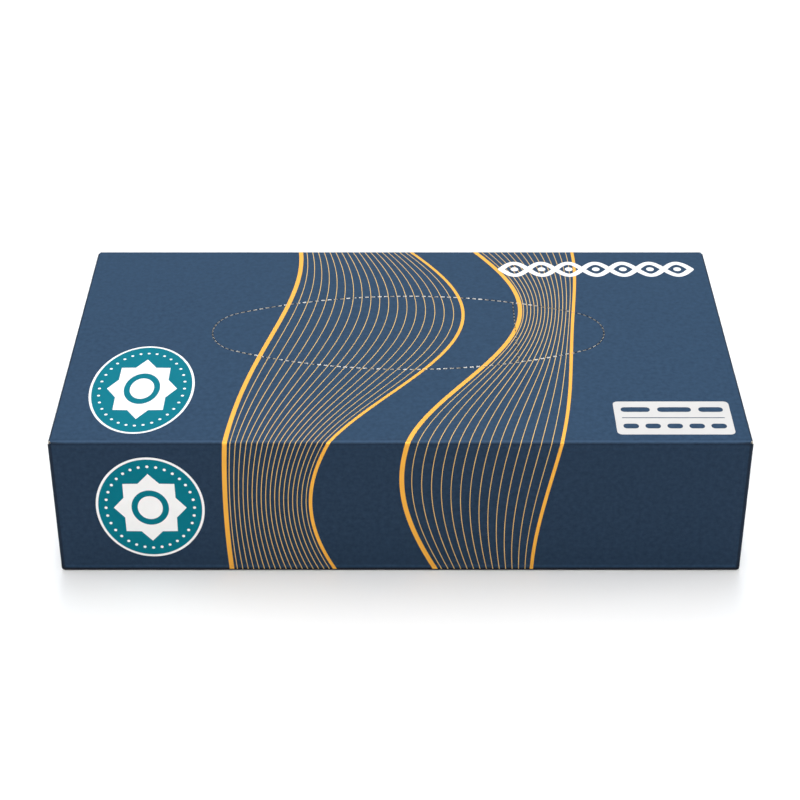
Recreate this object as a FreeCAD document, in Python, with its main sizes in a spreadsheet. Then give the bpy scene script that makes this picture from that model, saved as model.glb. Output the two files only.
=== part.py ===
import FreeCAD, Part
from enum import IntEnum, auto
import math
import os
import Sketcher

# A flat tissue carton as it is sold, glued shut at both ends and with its tear-out still in
# place. Nothing of its inside can be seen, so the board, the sheets and the film are one solid.
# Lengths are in millimetres. X runs along the carton, Y from front to back and Z up, and the
# origin is the middle of the face that it rests on.

NODE = "sealed_carton"

SIZES = {
    # The closed carton
    "length": 225.0,
    "depth": 128.0,
    "height": 51.0,
    "board": 0.42,  # one layer of carton board
    "crease": 0.8,  # outer radius of a folded edge
    "seam_ledge": 0.3,  # flat strip of the glue flap that shows beside the bottom panel's edge
    "foot_cut": 1.0,  # both legs of the bevel at the foot of each upright crease
    # The end flaps, the outer one hinged on the top panel and the inner one on the bottom panel
    "recess_side": 1.0,  # front or back face to the recess that both flaps lie in
    "outer_flap_side": 1.5,  # front or back face to the flap's side edge
    "outer_flap_gap": 2.5,  # resting face to the flap's free edge
    "outer_flap_corner": 3.5,  # radius of its two free corners
    "inner_flap_side": 1.2,
    "inner_flap_gap": 1.6,  # top face to the flap's free edge
    # The perforated tear-out in the top panel, an oval of four tangent arcs
    "tear_length": 136.0,
    "tear_width": 49.6,
    "tear_end_radius": 14.0,
    "tear_x": 2.7,  # the oval's centre
    "tear_y": 5.8,
    "tab_line": 37.3,  # from the oval's centre to the line across it, which frees a thumb tab
    "slot_pitch": 2.25,
    "slot_length": 1.25,
    "slot_width": 0.28,
}

# What follows from the sizes, as formulas of a second sheet. Each long side of the oval is an
# arc centred on its short axis, which meets the end arcs on the line through both centres.
HALF_SPAN = "(Sizes.tear_length / 2 - Sizes.tear_end_radius)"
HALF_WIDTH = "(Sizes.tear_width / 2)"
FORMULAS = {
    "side_radius": (
        f"=({HALF_SPAN}^2 + {HALF_WIDTH}^2 - Sizes.tear_end_radius^2)"
        f" / (2 * ({HALF_WIDTH} - Sizes.tear_end_radius))"
    ),
    "side_centre": f"=side_radius - {HALF_WIDTH}",
    "side_sweep": f"=2 * atan({HALF_SPAN} / side_centre) / 1 deg",
    "side_slots": "=round(side_radius * side_sweep * pi / 180 / Sizes.slot_pitch)",
    "end_sweep": "=180 - side_sweep",
    "end_slots": "=round(Sizes.tear_end_radius * end_sweep * pi / 180 / Sizes.slot_pitch)",
    "tab_half": "=sqrt(side_radius^2 - Sizes.tab_line^2) - side_centre",
    "tab_slots": "=round(2 * tab_half / Sizes.slot_pitch)",
}

QUARTER = math.pi / 2


class Spot(IntEnum):
    """How a sketch's constraints number an edge's start, end and middle."""

    START = auto()
    END = auto()
    MIDDLE = auto()


START, END, MIDDLE = Spot
LEVEL_AXIS = -1
ORIGIN = (LEVEL_AXIS, START)


def fill_sheet(doc, name, cells):
    """Makes a sheet with one named cell in each row."""
    sheet = doc.addObject("Spreadsheet::Sheet", name)
    for row, (alias, content) in enumerate(cells.items(), start=1):
        sheet.set(f"A{row}", alias)
        sheet.set(f"B{row}", str(content))
        sheet.setAlias(f"B{row}", alias)


def origin_plane(body, role):
    """The origin plane of the body that has this role."""
    return next(item for item in body.Origin.OriginFeatures if item.Role == role)


def new_sketch(body, name, role, **offset):
    """A sketch on an origin plane, moved by the expressions x, y and z and turned by turn."""
    sketch = body.newObject("Sketcher::SketchObject", name)
    sketch.AttachmentSupport = [(origin_plane(body, role), "")]
    sketch.MapMode = "FlatFace"
    paths = {"x": "Base.x", "y": "Base.y", "z": "Base.z", "turn": "Rotation.Angle"}
    for key, expression in offset.items():
        sketch.setExpression("AttachmentOffset." + paths[key], expression)
    return sketch


def constrain(sketch, kind, *where):
    """Adds one constraint and returns its number."""
    return sketch.addConstraint(Sketcher.Constraint(kind, *where))


def dimension(sketch, name, expression, kind, *where):
    """Adds a named dimension whose value follows an expression."""
    number = constrain(sketch, kind, *where, float(sketch.evalExpression(expression)))
    sketch.renameConstraint(number, name)
    sketch.setExpression("Constraints." + name, expression)


def add_line(sketch, start, end):
    """Draws a straight edge, held level or upright if it is drawn so, and returns its number."""
    ends = [FreeCAD.Vector(*point, 0) for point in (start, end)]
    edge = sketch.addGeometry(Part.LineSegment(*ends), False)
    if start[1] == end[1]:
        constrain(sketch, "Horizontal", edge)
    elif start[0] == end[0]:
        constrain(sketch, "Vertical", edge)
    return edge


def add_quarter(sketch, centre, radius, start):
    """Draws a quarter circle, anticlockwise from an angle, and returns its number."""
    circle = Part.Circle(FreeCAD.Vector(*centre, 0), FreeCAD.Vector(0, 0, 1), radius)
    return sketch.addGeometry(Part.ArcOfCircle(circle, start, start + QUARTER), False)


def chain(sketch, *edges):
    """Joins edges end to start into a ring. An arc is tangent to its neighbours."""
    for first, second in zip(edges, edges[1:] + edges[:1]):
        shapes = [type(sketch.Geometry[edge]) for edge in (first, second)]
        kind = "Tangent" if Part.ArcOfCircle in shapes else "Coincident"
        constrain(sketch, kind, first, END, second, START)


def add_box(sketch, left, low, right, high):
    """Draws an upright rectangle and returns its low, right, high and left edges."""
    corners = [(left, low), (right, low), (right, high), (left, high)]
    edges = [add_line(sketch, *ends) for ends in zip(corners, corners[1:] + corners[:1])]
    chain(sketch, *edges)
    return edges


def section_outline(body, size):
    """The carton's section along X, with four creased corners and the step of the glue seam.

    The bottom panel ends short of the back face. Beside its edge the glue flap shows, one
    layer of board higher, and turns up into the back panel.
    """
    sketch = new_sketch(body, "Section", "YZ_Plane")
    half, top, turn, step = size["depth"] / 2, size["height"], size["crease"], size["board"]
    edge_y = half - turn - size["seam_ledge"]
    bottom = add_line(sketch, (turn - half, 0), (edge_y, 0))
    riser = add_line(sketch, (edge_y, 0), (edge_y, step))
    ledge = add_line(sketch, (edge_y, step), (half - turn, step))
    seam_turn = add_quarter(sketch, (half - turn, step + turn), turn, -QUARTER)
    back = add_line(sketch, (half, step + turn), (half, top - turn))
    back_turn = add_quarter(sketch, (half - turn, top - turn), turn, 0)
    cover = add_line(sketch, (half - turn, top), (turn - half, top))
    front_turn = add_quarter(sketch, (turn - half, top - turn), turn, QUARTER)
    front = add_line(sketch, (-half, top - turn), (-half, turn))
    foot_turn = add_quarter(sketch, (turn - half, turn), turn, 2 * QUARTER)
    chain(sketch, bottom, riser, ledge, seam_turn, back, back_turn, cover, front_turn, front,
          foot_turn)
    constrain(sketch, "PointOnObject", bottom, START, LEVEL_AXIS)
    for corner in (back_turn, front_turn, foot_turn):
        constrain(sketch, "Equal", seam_turn, corner)
    dimension(sketch, "crease", "Sizes.crease", "Radius", seam_turn)
    dimension(sketch, "step", "Sizes.board", "DistanceY", riser, START, riser, END)
    dimension(sketch, "ledge", "Sizes.seam_ledge", "DistanceX", ledge, START, ledge, END)
    dimension(sketch, "front", "Sizes.depth / 2", "DistanceX", front, START, *ORIGIN)
    dimension(sketch, "back", "Sizes.depth / 2", "DistanceX", *ORIGIN, back, START)
    dimension(sketch, "height", "Sizes.height", "DistanceY", *ORIGIN, cover, START)
    return sketch


def plan_outline(body, size):
    """A ring whose inner edge is the carton's plan, with creased corners.

    The front and back panels turn there into the dust flaps, which the glued flaps hide.
    """
    sketch = new_sketch(body, "Plan", "XY_Plane")
    turn = size["crease"]
    half_x, half_y = size["length"] / 2, size["depth"] / 2
    front = add_line(sketch, (turn - half_x, -half_y), (half_x - turn, -half_y))
    front_right = add_quarter(sketch, (half_x - turn, turn - half_y), turn, -QUARTER)
    right = add_line(sketch, (half_x, turn - half_y), (half_x, half_y - turn))
    back_right = add_quarter(sketch, (half_x - turn, half_y - turn), turn, 0)
    back = add_line(sketch, (half_x - turn, half_y), (turn - half_x, half_y))
    back_left = add_quarter(sketch, (turn - half_x, half_y - turn), turn, QUARTER)
    left = add_line(sketch, (-half_x, half_y - turn), (-half_x, turn - half_y))
    front_left = add_quarter(sketch, (turn - half_x, turn - half_y), turn, 2 * QUARTER)
    chain(sketch, front, front_right, right, back_right, back, back_left, left, front_left)
    for corner in (back_right, back_left, front_left):
        constrain(sketch, "Equal", front_right, corner)
    constrain(sketch, "Symmetric", front_left, MIDDLE, back_right, MIDDLE, *ORIGIN)
    dimension(sketch, "crease", "Sizes.crease", "Radius", front_right)
    dimension(sketch, "length", "Sizes.length", "DistanceX", left, START, right, START)
    dimension(sketch, "depth", "Sizes.depth", "DistanceY", front, START, back, START)
    rim = add_box(sketch, -half_x - turn, -half_y - turn, half_x + turn, half_y + turn)
    constrain(sketch, "Symmetric", rim[0], START, rim[2], START, *ORIGIN)
    outside = "Sizes.length + 2 * Sizes.crease"
    dimension(sketch, "rim_x", outside, "DistanceX", rim[0], START, rim[0], END)
    outside = "Sizes.depth + 2 * Sizes.crease"
    dimension(sketch, "rim_y", outside, "DistanceY", rim[1], START, rim[1], END)
    return sketch


def recess_outline(body, size):
    """What is taken from an end between the upright creases, where the glued flaps lie."""
    sketch = new_sketch(body, "RecessOutline", "YZ_Plane", z="Sizes.length / 2")
    half, over = size["depth"] / 2 - size["recess_side"], size["crease"]
    low, right, _, _ = add_box(sketch, -half, -over, half, size["height"] + over)
    side = "Sizes.depth / 2 - Sizes.recess_side"
    dimension(sketch, "front_side", side, "DistanceX", low, START, *ORIGIN)
    dimension(sketch, "back_side", side, "DistanceX", *ORIGIN, low, END)
    dimension(sketch, "under", "Sizes.crease", "DistanceY", low, START, *ORIGIN)
    rise = "Sizes.height + 2 * Sizes.crease"
    dimension(sketch, "rise", rise, "DistanceY", right, START, right, END)
    return sketch


def foot_cut_outline(body, size):
    """The bevel at the foot of an end's upright creases, seen from the front."""
    sketch = new_sketch(body, "FootCutOutline", "XZ_Plane")
    face, cut = size["length"] / 2, size["foot_cut"]
    under = add_line(sketch, (face - cut, 0), (face, 0))
    upright = add_line(sketch, (face, 0), (face, cut))
    bevel = add_line(sketch, (face, cut), (face - cut, 0))
    chain(sketch, under, upright, bevel)
    constrain(sketch, "PointOnObject", under, START, LEVEL_AXIS)
    dimension(sketch, "face", "Sizes.length / 2", "DistanceX", *ORIGIN, under, END)
    dimension(sketch, "under", "Sizes.foot_cut", "DistanceX", under, START, under, END)
    dimension(sketch, "rise", "Sizes.foot_cut", "DistanceY", upright, START, upright, END)
    return sketch


def inner_flap_profile(body, size):
    """The inner flap from the side: it folds up from the bottom panel, one layer behind."""
    sketch = new_sketch(body, "InnerFlapProfile", "XZ_Plane")
    turn, face = size["crease"], size["length"] / 2 - size["board"]
    root, free = face - size["board"] - turn, size["height"] - size["inner_flap_gap"]
    under = add_line(sketch, (root, 0), (face - turn, 0))
    fold = add_quarter(sketch, (face - turn, turn), turn, -QUARTER)
    outside = add_line(sketch, (face, turn), (face, free))
    edge = add_line(sketch, (face, free), (root, free))
    inside = add_line(sketch, (root, free), (root, 0))
    chain(sketch, under, fold, outside, edge, inside)
    constrain(sketch, "PointOnObject", under, START, LEVEL_AXIS)
    dimension(sketch, "crease", "Sizes.crease", "Radius", fold)
    reach = "Sizes.length / 2 - Sizes.board"
    dimension(sketch, "face", reach, "DistanceX", *ORIGIN, outside, START)
    depth = "Sizes.board + Sizes.crease"
    dimension(sketch, "root", depth, "DistanceX", edge, END, edge, START)
    rise = "Sizes.height - Sizes.inner_flap_gap"
    dimension(sketch, "free_edge", rise, "DistanceY", *ORIGIN, edge, START)
    return sketch


def outer_flap_profile(body, size):
    """The outer flap from the side: it folds down from the top panel over the inner one."""
    sketch = new_sketch(body, "OuterFlapProfile", "XZ_Plane")
    turn, face, top = size["crease"], size["length"] / 2, size["height"]
    root, free = face - 2 * size["board"] - turn, size["outer_flap_gap"]
    edge = add_line(sketch, (root, free), (face, free))
    outside = add_line(sketch, (face, free), (face, top - turn))
    fold = add_quarter(sketch, (face - turn, top - turn), turn, 0)
    over = add_line(sketch, (face - turn, top), (root, top))
    inside = add_line(sketch, (root, top), (root, free))
    chain(sketch, edge, outside, fold, over, inside)
    dimension(sketch, "crease", "Sizes.crease", "Radius", fold)
    dimension(sketch, "face", "Sizes.length / 2", "DistanceX", *ORIGIN, outside, START)
    depth = "2 * Sizes.board + Sizes.crease"
    dimension(sketch, "root", depth, "DistanceX", edge, START, edge, END)
    dimension(sketch, "top", "Sizes.height", "DistanceY", *ORIGIN, over, START)
    dimension(sketch, "free_edge", "Sizes.outer_flap_gap", "DistanceY", *ORIGIN, edge, START)
    return sketch


def flap_corner_outline(body, size):
    """What the rounding of the outer flap's two free corners takes away, seen from outside."""
    sketch = new_sketch(body, "FlapCornerOutline", "YZ_Plane", z="Sizes.length / 2")
    radius, low = size["outer_flap_corner"], size["outer_flap_gap"]
    for side, name in ((-1, "front"), (1, "back")):
        edge_y = side * (size["depth"] / 2 - size["outer_flap_side"])
        inner_y = edge_y - side * radius
        upright = [(edge_y, low + radius), (edge_y, low)]
        level = [(edge_y, low), (inner_y, low)]
        if side > 0:
            first, second = add_line(sketch, *upright), add_line(sketch, *level)
        else:
            first, second = add_line(sketch, *level[::-1]), add_line(sketch, *upright[::-1])
        angle = -QUARTER if side > 0 else 2 * QUARTER
        arc = add_quarter(sketch, (inner_y, low + radius), radius, angle)
        chain(sketch, first, second, arc)
        corner = (first, END)
        spread = "Sizes.depth / 2 - Sizes.outer_flap_side"
        span = (*ORIGIN, *corner) if side > 0 else (*corner, *ORIGIN)
        dimension(sketch, name + "_radius", "Sizes.outer_flap_corner", "Radius", arc)
        dimension(sketch, name + "_edge", spread, "DistanceX", *span)
        dimension(sketch, name + "_low", "Sizes.outer_flap_gap", "DistanceY", *ORIGIN, *corner)
    return sketch


def add_feature(body, kind, name, profile, **settings):
    """Adds a pad or pocket of a sketch to the body, with lengths as expressions."""
    feature = body.newObject("PartDesign::" + kind, name)
    feature.Profile = profile
    for key, value in settings.items():
        if key == "Length":
            feature.setExpression(key, value)
        else:
            setattr(feature, key, value)
    return feature


def add_ends(body, size):
    """The glued end closure on the right, then its mirror image on the left."""
    recess = add_feature(
        body, "Pocket", "EndRecess", recess_outline(body, size), Length="2 * Sizes.board"
    )
    foot = add_feature(
        body, "Pocket", "FootCut", foot_cut_outline(body, size),
        SideType="Symmetric", Length="Sizes.depth + 2 * Sizes.crease",
    )
    inner = add_feature(
        body, "Pad", "InnerFlap", inner_flap_profile(body, size),
        SideType="Symmetric", Length="Sizes.depth - 2 * Sizes.inner_flap_side",
    )
    outer = add_feature(
        body, "Pad", "OuterFlap", outer_flap_profile(body, size),
        SideType="Symmetric", Length="Sizes.depth - 2 * Sizes.outer_flap_side",
    )
    corners = add_feature(
        body, "Pocket", "FlapCorners", flap_corner_outline(body, size), Length="Sizes.board"
    )
    mirror = body.newObject("PartDesign::Mirrored", "LeftEnd")
    mirror.Originals = [recess, foot, inner, outer, corners]
    mirror.MirrorPlane = (origin_plane(body, "YZ_Plane"), [""])
    body.Tip = mirror


def add_slot(body, name, distance, **offset):
    """Cuts one perforation slot, one layer deep, at a distance along its sketch's level axis.

    The slot runs across that axis, so that a turn about the sketch's origin keeps it on its arc.
    """
    sketch = new_sketch(body, name + "Slot", "XY_Plane", z="Sizes.height", **offset)
    width, length = "Sizes.slot_width", "Sizes.slot_length"
    middle, half_x, half_y = (
        float(sketch.evalExpression(value)) for value in (distance, width + " / 2", length + " / 2")
    )
    low, right, _, _ = add_box(sketch, middle - half_x, -half_y, middle + half_x, half_y)
    dimension(sketch, "width", width, "DistanceX", low, START, low, END)
    dimension(sketch, "length", length, "DistanceY", right, START, right, END)
    dimension(sketch, "under", f"{length} / 2", "DistanceY", low, START, *ORIGIN)
    dimension(sketch, "far", f"{distance} + {width} / 2", "DistanceX", *ORIGIN, low, END)
    return add_feature(body, "Pocket", name + "Cut", sketch, Length="Sizes.board", Refine=False)


def repeat(body, kind, name, original, axis, count, **extent):
    """Repeats a slot about or along an axis of its own sketch."""
    pattern = body.newObject("PartDesign::" + kind, name)
    pattern.Originals = [original]
    reference = (original.Profile[0], [axis])
    if kind == "PolarPattern":
        pattern.Axis = reference
    else:
        pattern.Direction = reference
    pattern.Mode = "Spacing"
    pattern.setExpression("Occurrences", count)
    for key, expression in extent.items():
        pattern.setExpression(key, expression)
    body.Tip = pattern


def add_tear_out(body):
    """The perforation: slots along the oval's four arcs, and along the thumb tab's line.

    Each arc is given as its radius, its centre, the direction that it faces and its kind.
    """
    middle_x, middle_y = "Sizes.tear_x", "Sizes.tear_y"
    arcs = {
        "Right": ("Sizes.tear_end_radius", f"{middle_x} + {HALF_SPAN}", middle_y, 0, "end"),
        "Back": ("Worked.side_radius", middle_x, f"{middle_y} - Worked.side_centre", 90, "side"),
        "Left": ("Sizes.tear_end_radius", f"{middle_x} - {HALF_SPAN}", middle_y, 180, "end"),
        "Front": ("Worked.side_radius", middle_x, f"{middle_y} + Worked.side_centre", 270, "side"),
    }
    for name, (radius, x, y, facing, arc) in arcs.items():
        step = f"Worked.{arc}_sweep / Worked.{arc}_slots"
        first = f"{facing} - Worked.{arc}_sweep / 2 + {step} / 2"
        cut = add_slot(body, name, radius, x=x, y=y, turn=first)
        repeat(body, "PolarPattern", name + "Arc", cut, "N_Axis", f"Worked.{arc}_slots",
               Offset=step)
    step = "2 * Worked.tab_half / Worked.tab_slots"
    cut = add_slot(
        body, "Tab", "Sizes.tab_line", x=middle_x,
        y=f"{middle_y} - Worked.tab_half + {step} / 2",
    )
    repeat(body, "LinearPattern", "TabLine", cut, "V_Axis", "Worked.tab_slots", Offset=step)


def check(doc, body):
    """Stops unless every object is up to date and each feature changes the volume."""
    failed = [item.Name for item in doc.Objects if {"Invalid", "Error"} & set(item.State)]
    if failed:
        raise RuntimeError(f"failed objects: {failed}")
    loose = [item.Name for item in doc.Objects
             if item.isDerivedFrom("Sketcher::SketchObject") and not item.FullyConstrained]
    if loose:
        raise RuntimeError(f"sketches that are not fully constrained: {loose}")
    before = 0
    for item in body.Group:
        if not item.isDerivedFrom("PartDesign::Feature"):
            continue
        volume = item.Shape.Volume
        print(f"{item.Name:18} {volume:14.3f} {volume - before:+12.3f}")
        if math.isclose(volume, before, rel_tol=1e-12):
            raise RuntimeError(f"{item.Name} changes nothing")
        before = volume
    if body.Shape.isNull() or not body.Shape.isValid() or len(body.Shape.Solids) != 1:
        raise RuntimeError(f"{body.Label} is not one valid solid")


def build():
    """Builds the carton and writes it to parts/."""
    doc = FreeCAD.newDocument("TissueCarton")
    fill_sheet(doc, "Sizes", SIZES)
    doc.recompute()
    fill_sheet(doc, "Worked", FORMULAS)
    doc.recompute()

    body = doc.addObject("PartDesign::Body", "Carton")
    body.Label = NODE
    body.Placement = FreeCAD.Placement()
    add_feature(
        body, "Pad", "Sleeve", section_outline(body, SIZES),
        SideType="Symmetric", Length="Sizes.length",
    )
    add_feature(
        body, "Pocket", "DustFlapCreases", plan_outline(body, SIZES),
        Type="ThroughAll", Reversed=True,
    )
    add_ends(body, SIZES)
    add_tear_out(body)
    doc.recompute()
    check(doc, body)

    os.makedirs("parts", exist_ok=True)
    body.Shape.exportStep(f"parts/{NODE}.step")
    box = body.Shape.BoundBox
    print(f"{NODE}: {box.XLength:.3f} x {box.YLength:.3f} x {box.ZLength:.3f} mm,"
          f" {len(body.Shape.Faces)} faces, {body.Shape.Volume / 1000:.1f} cm3")


build()
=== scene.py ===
"""A sealed flat tissue carton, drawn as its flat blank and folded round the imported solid.

The board, its flaps, its perforation and everything printed on it are laid out on the blank,
in millimetres. One fold carries them all into place, so print and board meet exactly on every
panel and over every crease.
"""
import logging
import math
from dataclasses import dataclass, replace
from enum import Enum

import bpy
import numpy as np
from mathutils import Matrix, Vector
from mathutils.geometry import delaunay_2d_cdt


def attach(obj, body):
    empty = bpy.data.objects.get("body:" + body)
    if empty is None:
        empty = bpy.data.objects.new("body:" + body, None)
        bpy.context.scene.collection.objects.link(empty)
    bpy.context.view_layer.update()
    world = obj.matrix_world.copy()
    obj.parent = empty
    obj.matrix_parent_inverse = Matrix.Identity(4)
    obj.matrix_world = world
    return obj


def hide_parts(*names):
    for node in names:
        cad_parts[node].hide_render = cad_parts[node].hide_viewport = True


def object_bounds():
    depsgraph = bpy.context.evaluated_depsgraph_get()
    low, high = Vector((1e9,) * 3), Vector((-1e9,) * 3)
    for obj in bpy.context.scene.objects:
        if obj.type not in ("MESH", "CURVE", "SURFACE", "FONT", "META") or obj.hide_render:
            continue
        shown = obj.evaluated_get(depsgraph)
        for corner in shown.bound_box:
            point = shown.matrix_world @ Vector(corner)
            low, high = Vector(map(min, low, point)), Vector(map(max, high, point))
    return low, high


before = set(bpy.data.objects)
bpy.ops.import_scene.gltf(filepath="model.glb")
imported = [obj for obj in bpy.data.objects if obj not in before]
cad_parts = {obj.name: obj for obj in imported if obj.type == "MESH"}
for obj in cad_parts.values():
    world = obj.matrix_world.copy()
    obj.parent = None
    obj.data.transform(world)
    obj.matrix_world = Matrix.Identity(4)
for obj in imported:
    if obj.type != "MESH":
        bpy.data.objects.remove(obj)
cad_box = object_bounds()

log = logging.getLogger("carton")

Array = np.ndarray
Pair = tuple[float, float]
Socket = bpy.types.NodeSocket

MM = 0.001
QUARTER = math.pi / 2
TURN = 2 * math.pi
TINY = 1e-15
DIGITS = 6
WELD = 1e-6
FILL_OUTLINES = 1
NODE = "sealed_carton"
BODY = "root"
# The board's attribute of painted shade, positive, and painted highlight, negative.
PAINTED_SHADE_AND_LIGHT = "painted_shade_and_light"


class Slot(Enum):
    """The material slots of the part's record."""

    BOARD = "printed_board"
    RAW = "raw_board"
    GOLD = "gold_ink"
    TEAL = "teal_ink"
    WHITE = "white_ink"


class Stretch(Enum):
    """The stretches of the section's path, from the glue flap round to the bottom's edge."""

    GLUE_FLAP = 0
    SEAM_CREASE = 1
    BACK = 2
    BACK_CREASE = 3
    TOP = 4
    FRONT_CREASE = 5
    FRONT = 6
    BOTTOM_CREASE = 7
    BOTTOM = 8
    END = 9


def rows(a: Array | float, b: Array | float) -> Array:
    """Rows of (a, b) from two arrays, or from an array and a number."""
    return np.stack(np.broadcast_arrays(a, b), axis=1)


def rays(angles: Array) -> Array:
    """The unit vectors at some angles: rows of (cosine, sine)."""
    return rows(np.cos(angles), np.sin(angles))


def unit(vectors: Array) -> Array:
    """Rows of vectors, each divided by its length."""
    return vectors / np.maximum(np.linalg.norm(vectors, axis=1), TINY)[:, None]


def ease(share: Array) -> Array:
    """Rises from 0 to 1 with a share, as sin squared of that share of a quarter turn."""
    return np.sin(QUARTER * np.clip(share, 0, 1)) ** 2


def bell(distance: Array, reach: Array | float) -> Array:
    """Falls from 1 to 0 over a reach to either side, as cos squared of a quarter turn."""
    return np.cos(QUARTER * np.minimum(np.abs(distance) / reach, 1)) ** 2


def shown(name: str, data: bpy.types.ID) -> bpy.types.Object:
    """A new object in the scene, with its mesh, light or camera."""
    item = bpy.data.objects.new(name, data)
    bpy.context.scene.collection.objects.link(item)
    return item


@dataclass(frozen=True)
class TearOut:
    """The perforated opening in the top panel: an oval of four arcs and one cut line across it.

    The sizes are in millimetres, and the places are on the top panel.
    """

    length: float = 136.0
    width: float = 49.6
    end_radius: float = 14.0
    x: float = 2.7
    y: float = 5.8
    tab_line: float = 37.3
    pitch: float = 2.25
    cut_length: float = 1.25
    cut_width: float = 0.28
    groove: float = 0.4
    groove_depth: float = 0.1
    groove_steps: int = 2

    @property
    def end_centre(self) -> float:
        """How far the centre of an end arc lies from the oval's middle."""
        return self.length / 2 - self.end_radius

    @property
    def side_radius(self) -> float:
        """The radius of the front and back arcs, from their touching the end arcs smoothly."""
        squares = self.end_centre ** 2 + self.width ** 2 / 4 - self.end_radius ** 2
        return squares / (self.width - 2 * self.end_radius)

    @property
    def side_centre(self) -> float:
        """How far the centre of a side arc lies beyond the oval's middle."""
        return self.side_radius - self.width / 2

    @property
    def joint_angle(self) -> float:
        """Half of the angle that a side arc spans."""
        return math.atan2(self.end_centre, self.side_centre)

    @property
    def tab_half(self) -> float:
        """Half the length of the line across, which ends on the side arcs."""
        return math.sqrt(self.side_radius ** 2 - self.tab_line ** 2) - self.side_centre

    def pressed_and_shaded(self, a: Array, b: Array) -> Array:
        """How deep the groove along the cut lines is, up to 1.
        The board's painted shade in the groove is as dark as the groove is deep.

        By symmetry a place is taken to the first quarter of the oval. There it is compared
        with the side arc up to the joint's angle, and with the end arc past it. The depth is
        cos squared of the distance from the nearest cut line.

        Args:
            a: Places across the blank.
            b: Places along the blank.

        Returns:
            The depth at each place.
        """
        x, y = np.abs(a - self.x), np.abs(b - self.y)
        beside = np.arctan2(x, y + self.side_centre) <= self.joint_angle
        side = np.abs(np.hypot(x, y + self.side_centre) - self.side_radius)
        end = np.abs(np.hypot(x - self.end_centre, y) - self.end_radius)
        tab = np.hypot(a - self.x - self.tab_line, np.maximum(y - self.tab_half, 0))
        return bell(np.minimum(np.where(beside, side, end), tab), self.groove)

    def arcs(self) -> list[tuple[Array, float, float, float]]:
        """The four arcs, each as its centre, radius, middle direction and half angle."""
        sides = [(np.array([self.x, self.y - way * self.side_centre]), self.side_radius,
                  way * QUARTER, self.joint_angle) for way in (1, -1)]
        ends = [(np.array([self.x + way * self.end_centre, self.y]), self.end_radius,
                 (1 - way) * QUARTER, QUARTER - self.joint_angle) for way in (1, -1)]
        return sides + ends

    def cuts(self) -> Array:
        """The outlines of all the cuts.

        Each arc is shared into whole pitches and has a cut in the middle of each, along the
        arc. The line across is shared in the same way.

        Returns:
            Four corners of (a, b) for each cut.
        """
        centres, directions = [], []
        for centre, radius, middle, half in self.arcs():
            count = round(2 * half * radius / self.pitch)
            outwards = rays(middle - half + 2 * half * (np.arange(count) + 0.5) / count)
            centres.append(centre + radius * outwards)
            directions.append(rows(-outwards[:, 1], outwards[:, 0]))
        count = round(2 * self.tab_half / self.pitch)
        steps = self.tab_half * (2 * (np.arange(count) + 0.5) / count - 1)
        centres.append(rows(self.x + self.tab_line, self.y + steps))
        directions.append(rows(np.zeros(count), 1.0))
        places, along = np.concatenate(centres), np.concatenate(directions)
        aside = rows(-along[:, 1], along[:, 0])
        corners = [(-1, -1), (1, -1), (1, 1), (-1, 1)]
        return np.stack([places + along * (u * self.cut_length / 2)
                         + aside * (v * self.cut_width / 2) for u, v in corners], axis=1)

    def groove_lines(self) -> list[Array]:
        """Lines along the pressed groove's two edges and its floor, on each arc and the tab."""
        lines = []
        density = 2 * self.groove_steps
        for offset in (-self.groove, 0.0, self.groove):
            for centre, radius, middle, half in self.arcs():
                count = round(density * half * radius / self.pitch)
                angles = middle + half * np.linspace(-1, 1, count + 1)
                lines.append(centre + (radius + offset) * rays(angles))
            steps = np.linspace(-1, 1, round(density * self.tab_half / self.pitch))
            lines.append(rows(self.x + self.tab_line + offset, self.y + self.tab_half * steps))
        return lines


@dataclass(frozen=True)
class Board:
    """The board and how the closed carton is folded from it. Sizes are in millimetres."""

    length: float
    depth: float
    height: float
    floor: float
    thickness: float = 0.42
    crease: float = 0.8
    glue: float = 0.02
    seam_ledge: float = 0.3
    glue_flap: float = 14.0
    glue_slant: float = 9.8
    glue_set: float = 1.0
    outer_side: float = 1.5
    outer_gap: float = 2.5
    outer_corner: float = 3.5
    inner_side: float = 1.2
    inner_gap: float = 1.6
    dust_reach: float = 38.0
    dust_relief: float = 0.05
    dust_foot: float = 0.5
    dust_taper: float = 6.0
    notch: float = 0.25
    step: float = 0.4
    slit: float = 0.2
    score: float = 1.2
    score_width: float = 0.9
    score_depth: float = 0.08
    score_lines: int = 7
    top_sag: float = 0.3
    side_sag: float = 0.15

    @classmethod
    def inside(cls, box: tuple, ink: float) -> "Board":
        """The board of a carton that fills a box, once it is printed.

        Args:
            box: The lowest and highest corner, in metres.
            ink: How thick the print lies on the board, in millimetres.

        Returns:
            The board.
        """
        low, high = (np.array(corner) / MM for corner in box)
        return cls(*(float(size) - 2 * ink for size in high - low), ink)


@dataclass(frozen=True)
class Run:
    """One stretch of the section's path: a flat panel, or the turn of a crease."""

    length: float
    turn: float = 0.0
    sag: float = 0.0
    hinge: float = math.inf
    inset: float = 0.0

    @property
    def rate(self) -> float:
        """The angle turned on each millimetre."""
        return self.turn / self.length


def path_step(along: Array, rate: Array, heading: Array) -> Array:
    """How far a path gets in (y, z) that starts at a heading and turns left at a rate.

    On an arc the way is the radius times the change of (sine, minus cosine) of the heading.
    On a straight stretch it is the length times (cosine, sine).

    Args:
        along: The length of the path.
        rate: The angle turned on each millimetre, 0 on a straight stretch.
        heading: The direction at the start.

    Returns:
        Rows of (y, z).
    """
    along, rate, heading = np.broadcast_arrays(along, rate, heading)
    straight = rate == 0
    radius = 1 / np.where(straight, 1, rate)
    last = heading + along * rate
    y = np.where(straight, along * np.cos(heading), radius * (np.sin(last) - np.sin(heading)))
    z = np.where(straight, along * np.sin(heading), radius * (np.cos(heading) - np.cos(last)))
    return np.stack([y, z], axis=-1)


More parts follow.
